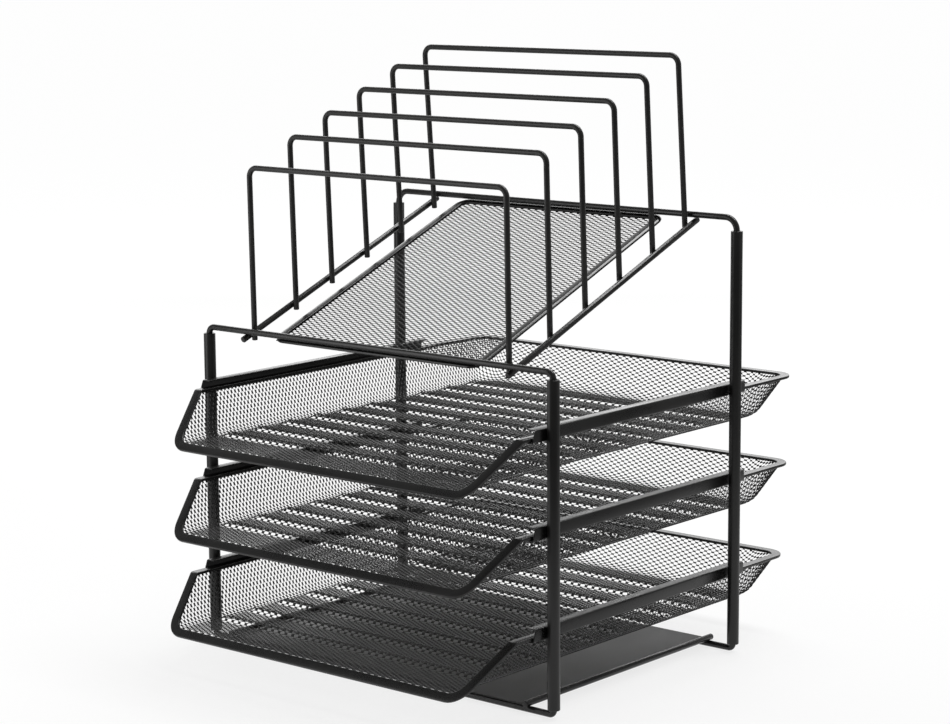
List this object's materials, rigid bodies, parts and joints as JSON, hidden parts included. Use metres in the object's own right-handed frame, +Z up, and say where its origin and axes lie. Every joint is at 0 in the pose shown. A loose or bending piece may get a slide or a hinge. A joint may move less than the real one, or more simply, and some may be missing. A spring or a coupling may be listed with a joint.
{
  "type": "mesh desk organizer",
  "caption": "Free-standing desk organizer of black coated steel: a tube and wire frame with an inclined wire file sorter on top and sliding mesh letter trays below.",
  "frame": {"origin": "centre of the footprint at desk level", "axes": "+Z up, front of the organizer towards -Y where the trays pull out, +X to its right as seen from the front"},
  "size_m": [0.2916, 0.3299, 0.3828],
  "materials": {
    "frame_coat": "satin black powder coat on steel wire and tube",
    "sheet_coat": "satin black powder coat on folded steel sheet",
    "mesh_coat": "satin black powder coat on expanded steel mesh"
  },
  "bodies": {
    "frame": {"front_left_post": "frame_coat", "front_right_post": "frame_coat", "rear_left_post": "frame_coat", "rear_right_post": "frame_coat", "front_bottom_rod": "frame_coat", "rear_bottom_rod": "frame_coat", "front_top_rod": "frame_coat", "rear_top_rod": "frame_coat", "left_base_wire": "frame_coat", "right_base_wire": "frame_coat", "base_plate": "sheet_coat", "top_left_rail": "sheet_coat", "top_right_rail": "sheet_coat", "middle_left_rail": "sheet_coat", "middle_right_rail": "sheet_coat", "bottom_left_rail": "sheet_coat", "bottom_right_rail": "sheet_coat", "left_incline_wire": "frame_coat", "right_incline_wire": "frame_coat", "divider_1": "frame_coat", "divider_2": "frame_coat", "divider_3": "frame_coat", "divider_4": "frame_coat", "divider_5": "frame_coat", "divider_6": "frame_coat", "sorter_panel_rim": "sheet_coat", "sorter_panel_mesh": "mesh_coat"},
    "top_tray": {"top_tray_rim": "sheet_coat", "top_tray_basket": "mesh_coat"},
    "middle_tray": {"middle_tray_rim": "sheet_coat", "middle_tray_basket": "mesh_coat"},
    "bottom_tray": {"bottom_tray_rim": "sheet_coat", "bottom_tray_basket": "mesh_coat"}
  },
  "joints": [
    {"name": "top_tray_pull", "type": "slide", "parent": "frame", "child": "top_tray", "axis": [0, -1, 0], "range_m": [-0.005, 0.15]},
    {"name": "middle_tray_pull", "type": "slide", "parent": "frame", "child": "middle_tray", "axis": [0, -1, 0], "range_m": [-0.007, 0.15]},
    {"name": "bottom_tray_pull", "type": "slide", "parent": "frame", "child": "bottom_tray", "axis": [0, -1, 0], "range_m": [-0.012, 0.15]}
  ]
}
